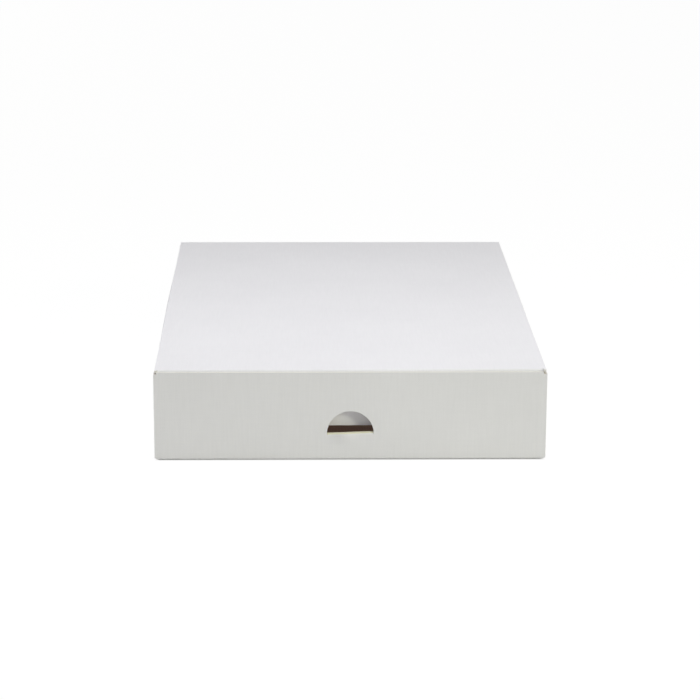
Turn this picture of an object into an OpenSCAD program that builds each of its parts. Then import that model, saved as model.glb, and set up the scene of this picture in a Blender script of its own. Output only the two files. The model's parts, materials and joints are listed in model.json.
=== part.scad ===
// One-piece tuck-top pastry box, folded from a single sheet of board.
// The floor lies on z = 0, centred on the origin. The front wall faces -Y and the lid hinges at +Y.
// The sheet is split only where it moves: the tray below, and the lid with its tuck flap.

/* [Box] */
// Width over the side walls
box_w = 260; // [180:1:400]
// Depth from the front wall to the back wall
box_d = 390; // [240:1:500]
// Height with the lid shut
box_h = 61.5; // [59:0.5:120]
// Thickness of the board
board = 1.5; // [1:0.1:2.2]
// Radius on the inside of a fold
fold_in = 0.3; // [0.2:0.1:1]

/* [Lid] */
// Slit between the lid and the walls and flaps under it
lid_gap = 0.3; // [0.2:0.1:1]
// How far the lid stops short of the outside of each side wall
lid_inset = 0.7; // [0:0.1:2]
// Slit between the tuck flap's fold and the glued corner flaps
tuck_gap = 0.3; // [0.2:0.1:1]
// Slit between each end of the tuck flap and the side wall
tuck_side_gap = 1.1; // [0.5:0.1:5]
// How far the tuck flap springs back from upright
tuck_lean = 6; // [5:0.5:10]
// How much each end of the tuck flap narrows to its tip
tuck_taper = 6; // [0:0.5:15]
// Radius of the tuck flap's two corners
tuck_corner_r = 8; // [2:0.5:12]
// Width of the slit beside the tuck flap's fold
ear_slit = 0.4; // [0.2:0.1:1]
// How far the lid's front ears stop short of the front wall's face
ear_inset = 0.5; // [0.2:0.1:1.2]

/* [Front wall] */
// How far the lid stands above the front wall's top edge
front_drop = 1.2; // [0.8:0.1:3]
// Width of the nick in each top corner of the front wall
nick_w = 2.2; // [1.5:0.1:2.6]
// Height of that nick below the lid
nick_h = 1; // [0.5:0.1:3]
// Width of the clipped bottom corner of the front and back walls
clip_w = 2.8; // [2:0.1:6]
// Height of that clipped corner
clip_h = 1.4; // [0.5:0.1:4]

/* [Finger hole] */
// Radius of the half-moon hole
hole_r = 15.5; // [10:0.5:18]
// Height of the circle's centre above the hole's flat side
hole_rise = 1.6; // [0:0.1:4]
// Height from the front wall's top edge down to the hole's flat side
hole_drop = 43.8; // [36:0.1:45]
// How far the pushed-in half-moon has turned about the hole's flat side
tab_turn = 150; // [120:5:165]
// Width of the cut round the half-moon
tab_cut = 0.2; // [0.1:0.1:0.5]
// Height of the dark gap between the folded half-moon and the tuck flap
peep_gap = 3.4; // [1:0.1:8]

/* [Side flaps] */
// Length of the dust flaps that lie under the lid
dust_reach = 62; // [30:1:80]
// How much each end of a dust flap narrows to its tip
dust_taper = 18; // [0:1:30]
// Radius of a dust flap's corners
dust_corner_r = 12; // [3:0.5:20]
// Slit between the dust flaps and the tuck flap
dust_gap = 0.5; // [0.3:0.1:4]
// Length of the glued corner flaps
glue_reach = 42; // [15:1:55]
// How much each end of a glued flap narrows to its tip
glue_taper = 5; // [0:0.5:12]
// Radius of a glued flap's corners
glue_corner_r = 4; // [1:0.5:8]
// How far the corner posts stop short of the dust flaps' top face
post_drop = 0.8; // [0.4:0.1:3]
// Width of the slit between a corner post and the dust flap's fold
post_slit = 0.5; // [0.3:0.1:2]

/* [Hidden] */
$fn = 64;

// Snaps a derived place to a hundredth of a millimetre
function hundredths(place) = round(100 * place) / 100;

board_white = [0.91, 0.905, 0.9];
fold_out = board + fold_in;
half_w = box_w / 2;
half_d = box_d / 2;

// Levels that stack down from the lid's top face
lid_under = box_h - board;
dust_top = lid_under - lid_gap;
front_top = box_h - front_drop;
post_top = dust_top - post_drop;

// Side walls end where their vertical folds begin, just behind the front and back walls
side_run = half_d - board - fold_out;
side_inner = half_w - board;

// Finger hole and the folded edge of its half-moon
hinge_z = front_top - hole_drop;
hinge_y = -half_d + fold_out;
tab_half_w = sqrt(hole_r ^ 2 - hole_rise ^ 2) - tab_cut;
tab_bend = tab_turn * PI / 180 * (fold_in + board / 2);

// Tuck flap: folded just behind the glued flaps, cut off above the half-moon's folded edge
tuck_fold_y = -half_d + 2 * board + tuck_gap + fold_out;
tuck_fold_z = box_h - fold_out;
tuck_low = hinge_z + fold_out + peep_gap;
tuck_root = 2 * (side_inner - tuck_side_gap);
tuck_back_y = tuck_fold_y + (tuck_fold_z - tuck_low) * tan(tuck_lean);

// Dust flaps stop short of the tuck flap's tip and, at the back, of the glued flaps
dust_front_y = hundredths(tuck_back_y + dust_gap);
dust_back_y = half_d - 2 * board - fold_out - dust_gap;

// A sheet that comes up along the left, bends to the right and turns by the given angle
module fold(turn) {
    reach = 2 * fold_out;
    intersection() {
        difference() {
            circle(r = fold_out);
            circle(r = fold_in);
        }
        translate([-reach, 0]) square([2 * reach, reach]);
        rotate(180 - turn) translate([-reach, 0]) square([2 * reach, reach]);
    }
}

// Outline of a flap: its root on the X axis, narrowing to a tip with two round corners
module flap(root, taper, reach, corner_r) {
    tip = root / 2 - taper;
    slope = atan(taper / reach);
    tangent = corner_r / tan((90 + slope) / 2);
    side_x = tip + tangent * sin(slope);
    side_y = reach - tangent * cos(slope);
    polygon([
        [-root / 2, 0], [root / 2, 0],
        [side_x, side_y], [tip - tangent, reach],
        [tangent - tip, reach], [-side_x, side_y],
    ]);
    for (side = [-1, 1])
        translate([side * (tip - tangent), reach - corner_r]) circle(r = corner_r);
}

// Extrudes a profile drawn in Y and Z across the box, centred on X
module across(width) {
    translate([-width / 2, 0, 0]) rotate([90, 0, 90]) linear_extrude(width) children();
}

// Extrudes a profile drawn in X and Z along the box between two depths
module along(y_from, y_to) {
    translate([0, y_to, 0]) rotate([90, 0, 0]) linear_extrude(y_to - y_from) children();
}

module both_sides() {
    children();
    mirror([1, 0, 0]) children();
}

// Face of an end wall, with clipped bottom corners and a nick in each top corner
module end_wall_face(top, nick_x, nick_z) {
    polygon([
        [-half_w + clip_w, 0], [half_w - clip_w, 0], [half_w, clip_h],
        [half_w, nick_z], [nick_x, nick_z], [nick_x, top],
        [-nick_x, top], [-nick_x, nick_z], [-half_w, nick_z], [-half_w, clip_h],
    ]);
}

// An end wall at -Y and the fold that joins it to the floor
module end_wall(top, nick_x, nick_z) {
    intersection() {
        across(box_w) {
            translate([-half_d, fold_out]) square([board, top - fold_out]);
            translate([-half_d + fold_out, fold_out]) rotate(90) fold(90);
        }
        along(-half_d, -half_d + fold_out) end_wall_face(top, nick_x, nick_z);
    }
}

// The half-moon cut in the front wall, flat side down
module finger_hole() {
    along(-half_d - board, -half_d + 2 * board) translate([0, hinge_z]) intersection() {
        translate([0, hole_rise]) circle(r = hole_r);
        translate([-hole_r, 0]) square(2 * hole_r);
    }
}

// The half-moon itself, pushed in and folded down behind the wall
module finger_tab() {
    tab_r = hole_r - tab_cut;
    translate([0, hinge_y, hinge_z]) {
        across(2 * tab_half_w) fold(tab_turn);
        rotate([-tab_turn, 0, 0]) along(-fold_out, -fold_in) intersection() {
            translate([0, hole_rise - tab_bend]) circle(r = tab_r);
            translate([-tab_r, 0]) square([2 * tab_r, tab_r]);
        }
    }
}

// The left side wall with its floor fold and its dust flap's fold
module side_wall() {
    along(-side_run, side_run) {
        translate([-half_w, fold_out]) square([board, dust_top - 2 * fold_out]);
        translate([-half_w + fold_out, fold_out]) rotate(90) fold(90);
    }
    along(dust_front_y, dust_back_y)
        translate([-half_w + fold_out, dust_top - fold_out]) fold(90);
}

// The left dust flap, folded in to lie under the lid
module dust_flap() {
    middle_y = (dust_front_y + dust_back_y) / 2;
    translate([-half_w + fold_out, middle_y, dust_top - board])
        rotate([0, 0, -90]) linear_extrude(board)
            flap(dust_back_y - dust_front_y, dust_taper, dust_reach, dust_corner_r);
}

// The left end of a side wall at -Y, turned behind the end wall and glued to it
module corner_flap(post_end_y) {
    post_h = post_top - fold_out;
    translate([0, 0, fold_out]) linear_extrude(post_h) {
        translate([-half_w + fold_out, -side_run]) rotate(90) fold(90);
        translate([-half_w, -side_run]) square([board, post_end_y + side_run]);
    }
    translate([-half_w + fold_out, -half_d + board, (fold_out + post_top) / 2])
        rotate([0, -90, -90]) linear_extrude(board)
            flap(post_h, glue_taper, glue_reach, glue_corner_r);
}

// Floor, four walls, glued corners, dust flaps and the pushed-in half-moon
module box_tray() {
    color(board_white) {
        translate([-half_w + fold_out, -half_d + fold_out, 0])
            cube([box_w - 2 * fold_out, box_d - 2 * fold_out, board]);
        difference() {
            end_wall(front_top, half_w - nick_w, lid_under - nick_h);
            finger_hole();
        }
        mirror([0, 1, 0]) end_wall(dust_top, half_w - nick_w, dust_top - nick_h);
        both_sides() {
            side_wall();
            dust_flap();
            corner_flap(dust_front_y - post_slit);
            mirror([0, 1, 0]) corner_flap(-dust_back_y - post_slit);
        }
        finger_tab();
    }
}

// The lid's front fold and the flap that leans back behind the front wall
module tuck_flap() {
    intersection() {
        translate([0, tuck_fold_y, tuck_fold_z]) across(tuck_root) rotate(tuck_lean) {
            fold(90 + tuck_lean);
            translate([-fold_out, -box_h]) square([board, box_h]);
        }
        along(-half_d, 0) translate([0, box_h]) mirror([0, 1])
            flap(tuck_root, tuck_taper, box_h - tuck_low, tuck_corner_r);
    }
}

// Top panel rounded at the hinge, with the front ears and the tuck flap
module hinged_lid() {
    lid_w = box_w - 2 * lid_inset;
    ear_x = tuck_root / 2 + ear_slit;
    color(board_white) {
        across(lid_w) {
            translate([tuck_fold_y, lid_under]) square([half_d - board - tuck_fold_y, board]);
            translate([half_d - board, lid_under]) intersection() {
                circle(r = board);
                square(board);
            }
        }
        both_sides() translate([ear_x, -half_d + ear_inset, lid_under])
            cube([lid_w / 2 - ear_x, tuck_fold_y + half_d - ear_inset, board]);
        tuck_flap();
    }
}

box_tray();
hinged_lid();
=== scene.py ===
import json
from math import cos, radians, sin, sqrt, tan

import bmesh
import bpy
from mathutils import Matrix, Vector

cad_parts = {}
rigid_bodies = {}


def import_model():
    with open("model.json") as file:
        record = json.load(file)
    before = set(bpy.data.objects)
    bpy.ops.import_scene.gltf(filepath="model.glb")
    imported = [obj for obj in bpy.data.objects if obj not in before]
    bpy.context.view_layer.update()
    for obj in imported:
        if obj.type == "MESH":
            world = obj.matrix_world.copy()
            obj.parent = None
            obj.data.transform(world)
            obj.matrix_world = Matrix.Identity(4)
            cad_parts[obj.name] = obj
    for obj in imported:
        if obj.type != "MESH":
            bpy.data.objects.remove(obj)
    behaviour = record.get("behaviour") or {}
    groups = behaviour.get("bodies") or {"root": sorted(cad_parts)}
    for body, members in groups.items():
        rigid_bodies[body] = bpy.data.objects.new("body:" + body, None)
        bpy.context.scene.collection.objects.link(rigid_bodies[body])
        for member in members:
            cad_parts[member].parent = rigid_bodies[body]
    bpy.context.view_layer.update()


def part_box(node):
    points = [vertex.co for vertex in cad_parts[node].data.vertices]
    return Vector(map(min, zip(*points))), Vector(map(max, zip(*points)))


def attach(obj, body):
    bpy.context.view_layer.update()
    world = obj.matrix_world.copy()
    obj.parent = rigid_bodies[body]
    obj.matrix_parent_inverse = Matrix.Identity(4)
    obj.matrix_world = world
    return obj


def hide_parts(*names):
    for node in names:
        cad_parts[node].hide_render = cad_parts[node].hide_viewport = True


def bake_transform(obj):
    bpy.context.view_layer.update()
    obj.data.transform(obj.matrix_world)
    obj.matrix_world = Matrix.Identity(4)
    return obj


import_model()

# Camera
# A long lens stands well back from the box and a little above it, nearly in line with its front.
# The eye, the turn and the tilt are those that line up the box's visible corners with the photo's.
camera_data = bpy.data.cameras.new("camera")
camera_data.sensor_width = 36
camera_data.lens = 124.67
camera_data.clip_end = 100
camera = bpy.data.objects.new("camera", camera_data)
bpy.context.scene.collection.objects.link(camera)
camera.matrix_world = (
    Matrix.Translation((-0.03576, -1.73297, 0.49085))
    @ Matrix.Rotation(radians(-1.3132), 4, "Z")
    @ Matrix.Rotation(radians(90 - 15.1062), 4, "X")
    @ Matrix.Rotation(radians(0.2498), 4, "Z")
)
bpy.context.scene.camera = camera
bpy.context.scene.view_settings.view_transform = "Standard"


# Studio lights
# One soft box stands low at the right of the front, and its shadow falls into the finger hole.
# A broad one hangs over the front of the box, and a third lights the back from the left.
def soft_box(name, place, aim, width, depth, watts, tint):
    lamp = bpy.data.lights.new(name, "AREA")
    lamp.color = tint
    lamp.shape = "RECTANGLE"
    lamp.size = width
    lamp.size_y = depth
    lamp.energy = watts
    holder = bpy.data.objects.new(name, lamp)
    holder.visible_camera = False
    bpy.context.scene.collection.objects.link(holder)
    direction = Vector(aim) - Vector(place)
    holder.matrix_world = Matrix.Translation(place) @ direction.to_track_quat("-Z", "Y").to_matrix().to_4x4()


soft_box("key_light", (2.4, -2.0, 1.15), (0, -0.1, 0.03),
         width=0.7, depth=0.7, watts=43, tint=(0.98, 1, 0.80))
soft_box("back_light", (-2.2, 2.4, 0.55), (0, 0.1, 0.03),
         width=0.7, depth=0.5, watts=30, tint=(1, 0.99, 0.94))
soft_box("overhead_light", (0, -0.185, 0.66), (0, -0.185, 0),
         width=1.2, depth=0.72, watts=4.25, tint=(0.965, 0.96, 1))


# Studio floor and backdrop
# The camera, and whatever mirrors it, sees both as plain white. To all other light the room is dim
# and the floor pale. Right beside the box the floor keeps a thin line of contact shadow.
class Level:
    """One number on a wire between shader nodes, so that sums on it read as plain arithmetic."""

    def __init__(self, tree, socket):
        self.tree = tree
        self.socket = socket

    def combine(self, operation, first, second):
        node = self.tree.nodes.new("ShaderNodeMath")
        node.operation = operation
        for place, value in enumerate((first, second)):
            if isinstance(value, Level):
                self.tree.links.new(value.socket, node.inputs[place])
            else:
                node.inputs[place].default_value = value
        return Level(self.tree, node.outputs[0])

    def __add__(self, other):
        return self.combine("ADD", self, other)

    def __rsub__(self, other):
        return self.combine("SUBTRACT", other, self)

    def __mul__(self, other):
        return self.combine("MULTIPLY", self, other)

    __radd__ = __add__
    __rmul__ = __mul__


class Finish:
    """The net of nodes behind a material, or behind the room's own light."""

    def __init__(self, owner):
        owner.use_nodes = True
        self.owner = owner
        self.tree = owner.node_tree
        self.tree.nodes.clear()

    def add(self, kind, settings=None, output=0, in_order=(), **by_name):
        """Adds a node. A socket's name is written with underscores for its spaces."""
        node = self.tree.nodes.new(kind)
        for setting, value in (settings or {}).items():
            setattr(node, setting, value)
        values = list(enumerate(in_order))
        values += [(name.replace("_", " "), value) for name, value in by_name.items()]
        for name, value in values:
            if isinstance(value, Level):
                self.tree.links.new(value.socket, node.inputs[name])
            else:
                node.inputs[name].default_value = value
        return Level(self.tree, node.outputs[output]) if node.outputs else None

    def seen(self):
        """Gives 1 to rays from the camera, a mirror or glass, and 0 to all others."""
        unseen = 1
        for ray in ("Is Camera Ray", "Is Transmission Ray", "Is Glossy Ray"):
            unseen = unseen * (1 - self.add("ShaderNodeLightPath", output=ray))
        return 1 - unseen

    def blend_colours(self, amount, low, high):
        return self.add("ShaderNodeMix", {"data_type": "RGBA"}, output="Result",
                        Factor=amount, A=(*low, 1), B=(*high, 1))

    def noise(self, scale, detail, stretch=(1, 1, 1)):
        place = self.add("ShaderNodeTexCoord", output="Object")
        grain = self.add("ShaderNodeMapping", Vector=place, Scale=stretch)
        return self.add("ShaderNodeTexNoise", Vector=grain, Scale=scale, Detail=detail)

    def finish_with(self, shader):
        self.add("ShaderNodeOutputMaterial", Surface=shader)
        return self.owner


white = (1, 1, 1, 1)
room_light = 0.15
room = bpy.data.worlds.new("room")
bpy.context.scene.world = room
room_net = Finish(room)
backdrop = room_net.add("ShaderNodeBackground", Color=white,
                        Strength=room_net.seen() * (1 - room_light) + room_light)
room_net.add("ShaderNodeOutputWorld", Surface=backdrop)

floor_size = 16
floor_z = -0.0001
contact_reach = 0.0015
white_share = 0.93
floor_net = Finish(bpy.data.materials.new("white_floor"))
open_sky = floor_net.add("ShaderNodeAmbientOcclusion", output="AO", Distance=contact_reach)
lit_floor = floor_net.add("ShaderNodeBsdfDiffuse", Color=(0.8, 0.8, 0.8, 1))
bright_floor = floor_net.add("ShaderNodeEmission", Color=white, Strength=1.04)
floor_look = floor_net.add("ShaderNodeMixShader",
                           in_order=(floor_net.seen() * open_sky * white_share, lit_floor, bright_floor))
bpy.ops.object.select_all(action="DESELECT")
bpy.ops.mesh.primitive_plane_add(size=floor_size, location=(0, 0, floor_z))
floor = bpy.context.object
floor.name = "studio_floor"
floor.data.materials.append(floor_net.finish_with(floor_look))

# Tray: floor and end walls
# The tray is most of one die-cut sheet of board. Its floor lies flat, and the front and back
# walls are folded up from it over the full width, with clipped corners below and nicks above.
board = 0.0015
fold_out = 0.0018
fold_steps = 4
clip_w = 0.0028
clip_h = 0.0014
nick_left_w = 0.0018
nick_right_w = 0.0022
nick_h = 0.001
lid_slit = 0.0003
post_slit = 0.0005
dust_start = 0.00959
dust_gap = 0.0005
slack = 1e-5
tray_high = Vector(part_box("box_tray")[1])
lid_low, lid_high = (Vector(corner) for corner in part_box("hinged_lid"))
half_w = tray_high.x
half_d = tray_high.y
front_top = tray_high.z
lid_under = lid_high.z - board
dust_top = lid_under - lid_slit
side_run = half_d - board - fold_out
dust_front = -half_d + dust_start
dust_back = half_d - 2 * board - fold_out - dust_gap


def near(value, target):
    return abs(value - target) < slack


def pick(inside):
    """Selects the sheet's edges whose two ends both pass the test."""
    bpy.ops.mesh.select_all(action="DESELECT")
    sheet = bmesh.from_edit_mesh(bpy.context.object.data)
    for edge in sheet.edges:
        if all(inside(end.co) for end in edge.verts):
            edge.select_set(True)
    bmesh.update_edit_mesh(bpy.context.object.data)


def pick_faces(inside, least_rise=None):
    """Selects the sheet's faces whose middle passes the test, or only those that face up enough."""
    bpy.ops.mesh.select_all(action="DESELECT")
    sheet = bmesh.from_edit_mesh(bpy.context.object.data)
    for face in sheet.faces:
        if inside(face.calc_center_bounds()) and (least_rise is None or face.normal.z > least_rise):
            face.select_set(True)
    bmesh.update_edit_mesh(bpy.context.object.data)


def cut(x=None, y=None, z=None):
    """Cuts the selected faces straight across at one place, and leaves them joined."""
    bpy.ops.mesh.bisect(plane_co=(x or 0, y or 0, z or 0),
                        plane_no=[float(place is not None) for place in (x, y, z)])


def cut_all(**places):
    """Cuts the whole sheet at a row of places along each axis."""
    for axis, row in places.items():
        for place in row:
            bpy.ops.mesh.select_all(action="SELECT")
            cut(**{axis: place})


def draw_on(x=0, y=0, z=0):
    """Extends the sheet from the edges that are selected."""
    bpy.ops.mesh.extrude_region_move(TRANSFORM_OT_translate={"value": (x, y, z)})


def fold(centre, axis, degrees=90, steps=fold_steps):
    """Turns the sheet over a crease, from the edges that are selected."""
    bpy.ops.mesh.spin(steps=steps, angle=radians(degrees), center=centre, axis=axis)


def new_sheet(name, half_x, back_y, front_y, z):
    """Starts a sheet as one flat panel, left in edit mode."""
    if bpy.context.object and bpy.context.object.mode == "EDIT":
        bpy.ops.object.mode_set(mode="OBJECT")
    bpy.ops.object.select_all(action="DESELECT")
    bpy.ops.mesh.primitive_plane_add(size=2)
    piece = bpy.context.object
    piece.name = name
    bpy.ops.object.mode_set(mode="EDIT")
    bpy.ops.mesh.select_mode(type="EDGE")
    bpy.ops.transform.resize(value=(half_x, (back_y - front_y) / 2, 1))
    bpy.ops.transform.translate(value=(0, (back_y + front_y) / 2, z))
    return piece


tray = new_sheet("folded_tray", half_w - clip_w, side_run, -side_run, 0)
cut_all(y=(dust_front - post_slit, dust_front, dust_back, dust_back + post_slit))
top_left = nick_left_w - half_w
top_right = half_w - nick_right_w
for end, wall_top, nick_z in ((-1, front_top, lid_under - nick_h), (1, dust_top, dust_top - nick_h)):
    pick(lambda p: near(end * p.y, side_run))
    draw_on(y=end * board)
    fold((0, end * (half_d - fold_out), fold_out), (-end, 0, 0))
    for step in range(1, fold_steps + 1):
        row = fold_out * (1 - cos(radians(90) * step / fold_steps))
        widened = half_w - clip_w * max(0, 1 - row / clip_h)
        pick(lambda p: near(p.z, row) and end * p.y > side_run + board)
        bpy.ops.transform.resize(value=(widened / (half_w - clip_w), 1, 1), center_override=(0, 0, 0))
    pick(lambda p: near(p.z, fold_out) and near(end * p.y, half_d))
    draw_on(z=nick_z - fold_out)
    for nick_x in (top_left, top_right):
        pick_faces(lambda c: near(end * c.y, half_d))
        cut(x=nick_x)
    pick(lambda p: near(p.z, nick_z) and near(end * p.y, half_d)
         and top_left - slack < p.x < top_right + slack)
    draw_on(z=wall_top - nick_z)

# Tray: side walls, glued flaps and dust flaps
# Each side wall is folded up from the floor. Its two ends turn the corner and are glued behind
# the front and back walls, and its top turns in as a long dust flap that lies under the lid.
glue_line = 0.00005
glue_reach = 0.042
glue_taper = 0.005
glue_corner = 0.004
dust_reach = 0.062
dust_taper = 0.018
dust_corner = 0.012
post_top = dust_top - 0.0008
half_post = (post_top - fold_out) / 2
glue_turn = fold_out - glue_line
glue_tip = half_w - glue_turn - glue_reach
for side in (-1, 1):
    pick(lambda p: near(side * p.x, half_w - clip_w) and near(p.z, 0) and abs(p.y) < side_run + slack)
    draw_on(x=side * (clip_w - fold_out))
    fold((side * (half_w - fold_out), 0, fold_out), (0, side, 0))
    draw_on(z=post_top - fold_out)
    for end in (-1, 1):
        pick(lambda p: near(side * p.x, half_w) and near(end * p.y, side_run) and p.z > fold_out - slack)
        fold((side * (half_w - glue_turn), end * side_run, 0), (0, 0, -side * end))
        draw_on(x=-side * glue_reach)
        pick(lambda p: near(side * p.x, glue_tip) and near(end * p.y, side_run + glue_turn))
        bpy.ops.transform.resize(value=(1, 1, 1 - glue_taper / half_post),
                                 center_override=(0, 0, fold_out + half_post))
        bpy.ops.mesh.bevel(offset=glue_corner, affect="VERTICES", segments=5)
    run_front = dust_front - post_slit
    run_back = dust_back + post_slit
    pick_faces(lambda c: near(side * c.x, half_w) and run_front < c.y < run_back and c.z > fold_out)
    cut(z=dust_top - fold_out)
    pick_faces(lambda c: near(side * c.x, half_w) and run_front < c.y < run_back
               and c.z > dust_top - fold_out + slack)
    bpy.ops.mesh.delete(type="FACE")
    pick(lambda p: near(side * p.x, half_w) and near(p.z, dust_top - fold_out)
         and dust_front - slack < p.y < dust_back + slack)
    fold((side * (half_w - fold_out), 0, dust_top - fold_out), (0, side, 0))
    draw_on(x=-side * dust_reach)
    pick(lambda p: near(side * p.x, half_w - fold_out - dust_reach) and near(p.z, dust_top))
    bpy.ops.transform.resize(value=(1, 1 - 2 * dust_taper / (dust_back - dust_front), 1),
                             center_override=(0, (dust_front + dust_back) / 2, 0))
    bpy.ops.mesh.bevel(offset=dust_corner, affect="VERTICES", segments=8)

# Tray: finger hole and its half-moon
# A half circle is cut in the front wall and stays joined along its flat lower side. It is pushed
# in and folded down behind the wall, so that the white face comes over the fold as a rounded lip.
hole_r = 0.0155
hole_rise = 0.0016
hole_z = front_top - 0.0438
hole_half = sqrt(hole_r ** 2 - hole_rise ** 2)
tab_cut = 0.00005
tab_turn = 150
patch_half = 0.024
patch_top = 0.042


def on_front(p):
    return near(p.y, -half_d)


def in_patch(p):
    """Tells whether a place lies in the patch of wall that the hole is cut from."""
    return on_front(p) and abs(p.x) < patch_half + slack and hole_z - slack < p.z < patch_top + slack


for line in ({"z": hole_z}, {"z": patch_top}, {"x": -patch_half}, {"x": patch_half}):
    pick_faces(on_front)
    cut(**line)
for place in (-hole_half, hole_half):
    pick_faces(lambda c: on_front(c) and abs(c.x) < patch_half and c.z < hole_z)
    cut(x=place)
pick_faces(lambda c: on_front(c) and abs(c.x) < patch_half and hole_z < c.z < patch_top)
bpy.ops.mesh.delete(type="ONLY_FACE")

# The patch goes back as one face with the hole left out of it
bpy.ops.mesh.select_all(action="DESELECT")
bpy.ops.mesh.primitive_circle_add(vertices=72, radius=hole_r, location=(0, -half_d, hole_z + hole_rise),
                                  rotation=(radians(90), 0, 0))
bpy.ops.mesh.bisect(plane_co=(0, 0, hole_z), plane_no=(0, 0, 1), clear_inner=True)
pick(in_patch)
bpy.ops.mesh.remove_doubles(threshold=1e-6)
bpy.ops.mesh.select_all(action="DESELECT")
sheet = bmesh.from_edit_mesh(tray.data)
for edge in sheet.edges:
    middle = (edge.verts[0].co + edge.verts[1].co) / 2
    on_flat_side = near(middle.z, hole_z) and abs(middle.x) < hole_half
    if in_patch(middle) and len(edge.link_faces) < 2 and not on_flat_side:
        edge.select_set(True)
bmesh.update_edit_mesh(tray.data)
bpy.ops.mesh.edge_face_add()

# The half-moon is laid at its folded angle, and the fold is then turned from it to the wall
lip_y = -half_d + fold_out
tab_bend = radians(tab_turn) * (fold_out - board / 2)
bpy.ops.mesh.select_all(action="DESELECT")
bpy.ops.mesh.primitive_circle_add(vertices=64, radius=hole_r - tab_cut, fill_type="NGON",
                                  rotation=(radians(90), 0, 0),
                                  location=(0, -half_d, hole_z + hole_rise - tab_bend))
bpy.ops.mesh.bisect(plane_co=(0, 0, hole_z), plane_no=(0, 0, 1), clear_inner=True)
bpy.ops.mesh.select_linked()
bpy.ops.transform.rotate(value=radians(tab_turn), orient_axis="X", center_override=(0, lip_y, hole_z))
root_y = lip_y - fold_out * cos(radians(tab_turn))
root_z = hole_z + fold_out * sin(radians(tab_turn))
pick(lambda p: abs(p.y - root_y) < 1e-4 and abs(p.z - root_z) < 1e-4 and abs(p.x) < hole_half)
fold((0, lip_y, hole_z), (-1, 0, 0), degrees=tab_turn, steps=10)
pick(lambda p: on_front(p) and near(p.z, hole_z) and abs(p.x) < hole_half + slack)
bpy.ops.mesh.remove_doubles(threshold=0.0002)


# Board: white liner
# The sheet's outer face is smooth coated paper. Its fibres run from the front wall over the lid
# and leave a faint fine streak, with a weaker one across and a slow mottle in the coating.
def white_liner():
    finish = Finish(bpy.data.materials.new("white_liner"))
    streak = finish.noise(60, 3, stretch=(16, 1, 1))
    weft = finish.noise(60, 3, stretch=(1, 14, 14))
    mottle = finish.noise(14, 2)
    tone = streak * 0.45 + weft * 0.2 + mottle * 0.35
    coat = finish.add(
        "ShaderNodeBsdfPrincipled",
        Base_Color=finish.blend_colours(tone, (0.80, 0.795, 0.825), (0.92, 0.915, 0.94)),
        Roughness=streak * 0.12 + 0.56,
        Specular_IOR_Level=0.15,
        Normal=finish.add("ShaderNodeBump", Height=streak, Strength=0.12, Distance=0.0002),
    )
    return finish.finish_with(coat)


# Board: kraft liner
# The sheet's inner face is plain brown kraft paper, rougher, with darker fibres and flecks. Its
# faint glow stands for the daylight that comes through the thin board into the shut box.
def kraft_liner():
    finish = Finish(bpy.data.materials.new("kraft_liner"))
    fibre = finish.noise(110, 4, stretch=(9, 1, 1))
    cloud = finish.noise(18, 2)
    tone = fibre * 0.7 + cloud * 0.3
    paper = finish.add(
        "ShaderNodeBsdfPrincipled",
        Base_Color=finish.blend_colours(tone, (0.30, 0.185, 0.10), (0.56, 0.40, 0.25)),
        Roughness=fibre * 0.15 + 0.72,
        Specular_IOR_Level=0.25,
        Emission_Color=(0.027, 0.020, 0.0175, 1),
        Emission_Strength=1,
        Normal=finish.add("ShaderNodeBump", Height=fibre, Strength=0.3, Distance=0.0003),
    )
    return finish.finish_with(paper)


# Board: core
# Where the die went through, the board shows its pale matt core, roughened by the blade. The
# half-moon's fold gets a yellower, darker finish of the same kind: its yellow is liner stretched thin
# over the fold, and its darkness is painted shade that dims the highlight on the fold's rounded top.
def matt_finish(name, low, high):
    finish = Finish(bpy.data.materials.new(name))
    nap = finish.noise(2600, 3)
    core = finish.add(
        "ShaderNodeBsdfPrincipled",
        Base_Color=finish.blend_colours(nap, low, high),
        Roughness=nap * 0.1 + 0.82,
        Specular_IOR_Level=0.2,
        Normal=finish.add("ShaderNodeBump", Height=nap, Strength=0.4, Distance=0.0001),
    )
    return finish.finish_with(core)


# Tray: thickness and finish
# The board is 1.5 mm thick, white outside and kraft brown inside, with a pale core at every cut.
# Big panels are never quite flat: the walls bow a little, and the lip bulges where it was pushed.
white_side, kraft_side, cut_side, shaded_fold_side = range(4)
liners = (
    white_liner(),
    kraft_liner(),
    matt_finish("cut_edge", (0.78, 0.76, 0.72), (0.88, 0.87, 0.85)),
    # The fold's finish is yellowed and darker, and the darkness is painted shade over the fold's highlight.
    matt_finish("yellow_fold_painted_shade", (0.80, 0.78, 0.60), (0.88, 0.86, 0.70)),
)
panel_cuts_x = [place / 1000 for place in range(-104, 105, 26)]
smooth_below = radians(38)


def face_outwards(piece, level, down):
    """Turns the whole sheet white side out, going by its largest face at a level."""
    bpy.ops.mesh.select_all(action="SELECT")
    bpy.ops.mesh.normals_make_consistent(inside=False)
    sheet = bmesh.from_edit_mesh(piece.data)
    level_faces = [face for face in sheet.faces
                   if abs(face.normal.z) > 0.9 and near(face.calc_center_median().z, level)]
    widest = max(level_faces, key=lambda face: face.calc_area())
    if (widest.normal.z > 0) == down:
        bpy.ops.mesh.flip_normals()


def press(spot, move, reach, falloff="SMOOTH"):
    """Pushes the corner of the mesh nearest to a spot, and the board round it follows."""
    bpy.ops.mesh.select_mode(type="VERT")
    bpy.ops.mesh.select_all(action="DESELECT")
    sheet = bmesh.from_edit_mesh(bpy.context.object.data)
    nearest = min(sheet.verts, key=lambda corner: (corner.co - Vector(spot)).length)
    nearest.select_set(True)
    sheet.select_flush(True)
    bmesh.update_edit_mesh(bpy.context.object.data)
    bpy.ops.transform.translate(value=move, use_proportional_edit=True,
                                proportional_edit_falloff=falloff, proportional_size=reach)
    bpy.ops.mesh.select_mode(type="EDGE")


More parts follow.
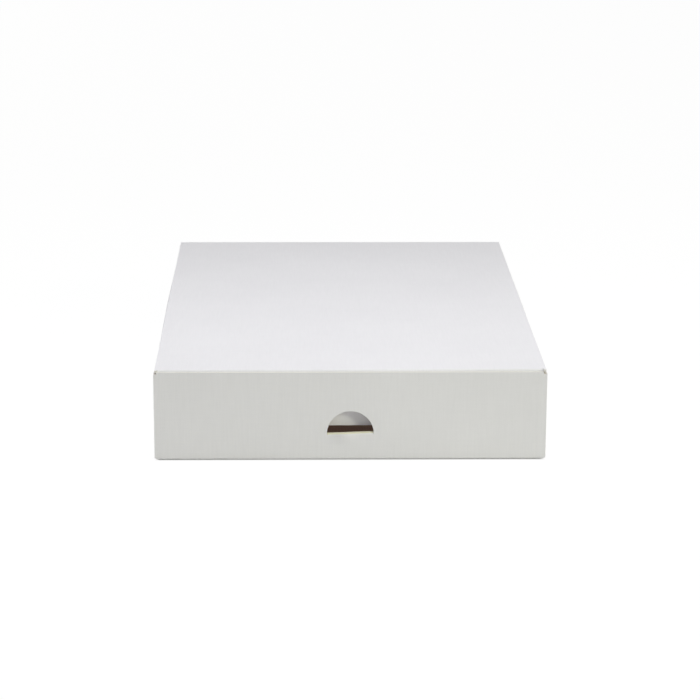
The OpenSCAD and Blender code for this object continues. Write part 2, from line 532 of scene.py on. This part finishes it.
def give_thickness(piece):
    """Turns the outer face of a sheet into board, and leaves it in edit mode."""
    bpy.ops.object.mode_set(mode="OBJECT")
    for liner in liners:
        piece.data.materials.append(liner)
    solid = piece.modifiers.new("board", "SOLIDIFY")
    solid.thickness = board
    solid.offset = -1
    solid.use_even_offset = True
    solid.material_offset = kraft_side
    solid.material_offset_rim = cut_side
    bpy.ops.object.modifier_apply(modifier=solid.name)
    bpy.ops.object.mode_set(mode="EDIT")


def paint(piece, side):
    """Gives the selected faces another of the board's finishes."""
    piece.active_material_index = side
    bpy.ops.object.material_slot_assign()


def soften(piece):
    """Rounds each cut edge a little and shades flat panels as flat."""
    bpy.ops.object.mode_set(mode="OBJECT")
    round_over = piece.modifiers.new("soft_edges", "BEVEL")
    round_over.width = 0.00015
    round_over.segments = 2
    round_over.limit_method = "ANGLE"
    round_over.angle_limit = radians(60)
    round_over.material = cut_side
    bpy.ops.object.modifier_apply(modifier=round_over.name)
    bpy.ops.object.shade_smooth_by_angle(angle=smooth_below)
    even = piece.modifiers.new("flat_panels", "WEIGHTED_NORMAL")
    even.keep_sharp = True
    bpy.ops.object.modifier_apply(modifier=even.name)


face_outwards(tray, level=0, down=True)
cut_all(x=panel_cuts_x + [place / 1000 for place in range(-20, 21, 4)],
        y=[place / 1000 for place in range(-175, 176, 25)],
        z=(0.004, 0.006, 0.008, 0.010, 0.012, 0.0135, 0.015, 0.026, 0.034, 0.05))

# The lip and the half-moon behind it are tilted, and bulge out a little left of the middle
lip_tilt = 1.9
lip_crest = 0.0013
bulge_x = -0.0055
tab_low_z = 0.003
tab_back_y = -0.183
pick(lambda p: abs(p.x) < hole_half + slack and tab_low_z < p.z < hole_z + fold_out + slack
     and p.y < tab_back_y and (p.y > -half_d + slack or near(p.z, hole_z)))
bpy.ops.transform.rotate(value=radians(lip_tilt), orient_axis="Y",
                         center_override=(-hole_half, lip_y, hole_z), use_proportional_edit=True,
                         proportional_edit_falloff="SMOOTH", proportional_size=0.006)
press((bulge_x, lip_y - lip_crest, hole_z + lip_crest), (0, -0.0021, 0.0005), 0.0080, "LINEAR")
for side in (-1, 1):
    press((side * half_w, 0, 0.03), (side * 0.0008, 0, 0), 0.16)
    press((side * 0.066, 0, dust_top), (0, 0, -0.0016), 0.05)

# The up-facing faces along the lip take the yellower fold finish, darker as painted shade over their
# highlight, and the kraft runs on from the back wall into the lid
shaded_fold_depth = 0.0012
shaded_fold_height = 0.004
give_thickness(tray)
bpy.ops.mesh.select_mode(type="FACE")
pick_faces(lambda c: abs(c.x) < hole_half and c.y < lip_y + shaded_fold_depth and hole_z < c.z < hole_z + shaded_fold_height,
           least_rise=0.5)
# Painted shade: only the fold's up-facing faces, where its highlight falls, get the darker yellow finish.
paint(tray, shaded_fold_side)
pick_faces(lambda c: near(c.z, dust_top) and near(c.y, half_d - board / 2) and abs(c.x) < top_right)
paint(tray, kraft_side)
soften(tray)
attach(tray, "tray")
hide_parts("box_tray")

# Lid: top panel, ears and tuck flap
# The lid goes on from the back wall's fold as one flat panel. Its front turns down as the tuck
# flap, which springs back behind the front wall, and leaves two short ears over the corners.
tuck_lean = 6
tuck_r = 0.00165
tuck_turn = 115
tuck_kink = 0.0016
tuck_taper = 0.006
tuck_corner = 0.008
tuck_side_gap = 0.0011
tuck_face_gap = 0.0005
nose_gap = 0.0001
ear_cut = 0.0002
fold_round = 0.0013
tuck_half = half_w - board - tuck_side_gap
ear_half = tuck_half + ear_cut
tuck_fold_y = -half_d + board + nose_gap + tuck_r
tuck_fold_z = lid_high.z - tuck_r
tuck_face_y = -half_d + 2 * board + tuck_face_gap
lid = new_sheet("folded_lid", lid_high.x, half_d, tuck_fold_y, lid_high.z)
cut_all(x=(-ear_half, -tuck_half, tuck_half, ear_half))
for side in (-1, 1):
    pick(lambda p: near(p.y, tuck_fold_y) and side * p.x > ear_half - slack)
    draw_on(y=lid_low.y - tuck_fold_y)
pick(lambda p: near(p.y, tuck_fold_y) and abs(p.x) < tuck_half + slack)
fold((0, tuck_fold_y, tuck_fold_z), (-1, 0, 0), degrees=tuck_turn, steps=10)
fold_end_y = tuck_fold_y - tuck_r * sin(radians(tuck_turn))
fold_end_z = tuck_fold_z + tuck_r * cos(radians(tuck_turn))
draw_on(y=tuck_face_y - fold_end_y, z=-tuck_kink)
drop = fold_end_z - tuck_kink - lid_low.z
draw_on(y=drop * tan(radians(tuck_lean)), z=-drop)
pick(lambda p: near(p.z, lid_low.z))
bpy.ops.transform.resize(value=(1 - tuck_taper / tuck_half, 1, 1), center_override=(0, 0, 0))
bpy.ops.mesh.bevel(offset=tuck_corner, affect="VERTICES", segments=6)
face_outwards(lid, level=lid_high.z, down=False)
cut_all(x=panel_cuts_x,
        y=[place / 1000 for place in range(-165, 151, 26)] + [0.168, 0.180, 0.188],
        z=(0.035, 0.05))

# The right front corner stands up a little, and the middle of the panel sags
press((0.12, tuck_fold_y, lid_high.z), (0, 0, 0.0005), 0.13)
press((0, 0.02, lid_high.z), (0, 0, -0.0005), 0.17)
give_thickness(lid)
bpy.ops.mesh.select_mode(type="EDGE")
pick(lambda p: near(p.y, half_d) and p.z > lid_under + board / 2)
bpy.ops.mesh.bevel(offset=fold_round, segments=5, material=white_side)
pick_faces(lambda c: near(c.y, half_d) and c.z < lid_high.z - fold_round)
paint(lid, kraft_side)
soften(lid)
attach(lid, "lid")
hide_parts("hinged_lid")

# Lid fold
# The lid and the back wall are one sheet, and the score between them is what bends. A short strip
# of board stands for it, with one side in the wall's top edge and the other in the lid.
crease_skin = 0.00006
crease_inset = 0.0001
crease_root = 0.0002
crease_outer_y = half_d - crease_skin
crease_inner_y = half_d - board + crease_inset
crease_low = dust_top - crease_root
crease_rows = 10
row_height = 0.00007
crease = new_sheet("lid_crease", top_right, crease_outer_y, crease_inner_y, crease_low)
cut_all(x=panel_cuts_x)
bpy.ops.mesh.select_all(action="SELECT")
for row in range(crease_rows):
    draw_on(z=row_height)
bpy.ops.mesh.select_all(action="SELECT")
bpy.ops.mesh.normals_make_consistent(inside=False)
for liner in (liners[white_side], liners[kraft_side]):
    crease.data.materials.append(liner)
pick_faces(lambda c: near(c.y, crease_inner_y))
paint(crease, kraft_side)
bpy.ops.object.mode_set(mode="OBJECT")
bpy.ops.object.shade_smooth_by_angle(angle=smooth_below)
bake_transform(crease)
